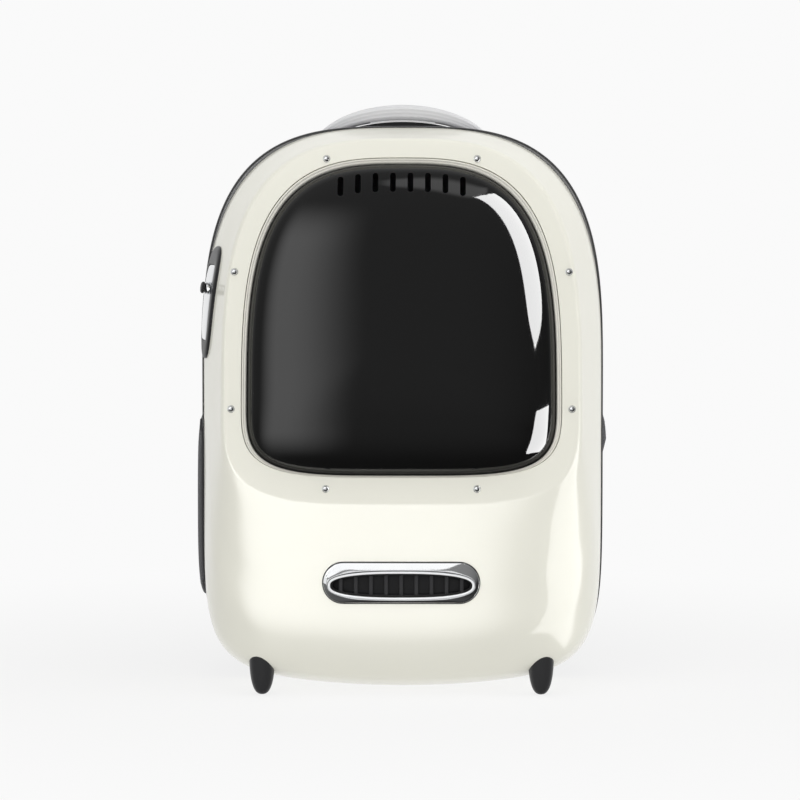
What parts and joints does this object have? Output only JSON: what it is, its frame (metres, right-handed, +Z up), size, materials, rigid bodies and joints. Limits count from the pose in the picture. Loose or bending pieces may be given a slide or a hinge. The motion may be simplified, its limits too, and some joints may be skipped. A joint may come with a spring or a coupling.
{
  "type": "pet carrier backpack",
  "caption": "Hard-shell pet backpack with a smoked bubble window, a chin vent, a zipped soft back, padded straps and short feet; it carries a small pet and stands by itself.",
  "frame": {"origin": "on the floor, at the middle of the footprint", "axes": "+Z up, -Y is the way the window faces, +X to the right when looking at the window"},
  "size_m": [0.3252, 0.2794, 0.453],
  "materials": {
    "gloss_white": "smooth glossy cream-white moulding",
    "smoked_window": "polished dark smoked clear plastic",
    "clear_trim": "smooth greige lip",
    "chrome": "polished",
    "black_plastic": "satin",
    "foot_rubber": "satin",
    "grey_fabric": "woven, matte",
    "charcoal_fabric": "woven, matte",
    "handle_grey": "soft-touch satin with fine lengthwise lines",
    "zip_black": "woven tape, matte"
  },
  "bodies": {
    "root": {"front_shell": "gloss_white", "back_shell": "grey_fabric", "seam_zip": "zip_black", "visor": "smoked_window", "visor_gasket": "clear_trim", "rivet_left_1": "chrome", "rivet_right_1": "chrome", "rivet_left_2": "chrome", "rivet_right_2": "chrome", "rivet_left_3": "chrome", "rivet_right_3": "chrome", "rivet_left_4": "chrome", "rivet_right_4": "chrome", "vent_bezel": "chrome", "vent_grille": "black_plastic", "foot_front_left": "foot_rubber", "foot_front_right": "foot_rubber", "foot_back_left": "foot_rubber", "foot_back_right": "foot_rubber", "carry_handle": "handle_grey", "handle_base": "black_plastic", "pocket_left": "charcoal_fabric", "pocket_right": "charcoal_fabric", "latch_base": "black_plastic", "latch_bar": "chrome", "latch_collar": "chrome", "latch_knob": "black_plastic", "back_pad": "charcoal_fabric", "strap_left": "charcoal_fabric", "strap_right": "charcoal_fabric", "webbing_left": "charcoal_fabric", "webbing_right": "charcoal_fabric", "buckle_left": "black_plastic", "buckle_right": "black_plastic"}
  },
  "joints": []
}
